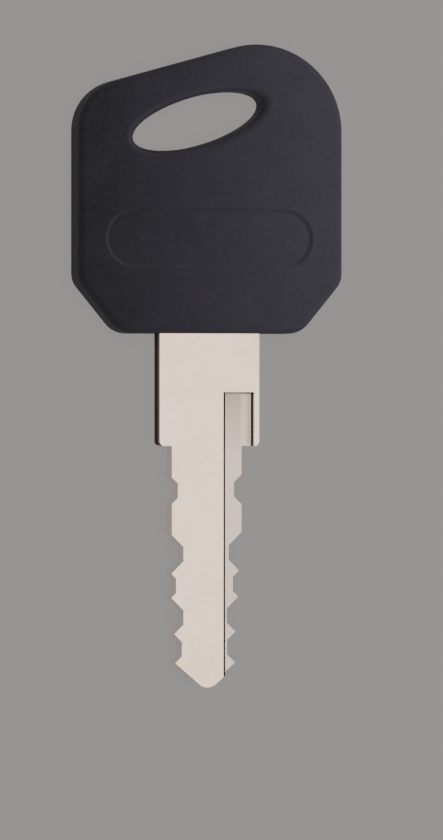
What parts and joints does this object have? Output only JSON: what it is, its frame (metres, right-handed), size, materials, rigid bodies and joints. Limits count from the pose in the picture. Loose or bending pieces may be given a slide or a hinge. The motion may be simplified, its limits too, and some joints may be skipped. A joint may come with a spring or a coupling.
{
  "type": "key",
  "caption": "Double-sided cut key: a flat metal blade with square shoulders, edge notches and a milled step, in a moulded plastic head with a slanted top and an oval key-ring hole.",
  "frame": {"origin": "under the middle of the key's bounding box, on the plane of the head's back face", "axes": "+Z out of the face with the oblong panel, +Y from the tip of the blade to the head, +X to the right of someone who looks at that face with the head up"},
  "size_m": [0.0256, 0.061, 0.004],
  "materials": {
    "blade_metal": "satin, nickel-plated, warm silver",
    "head_plastic": "matt black, finely grained"
  },
  "bodies": {
    "root": {"key_blade": "blade_metal", "key_head": "head_plastic"}
  },
  "joints": []
}
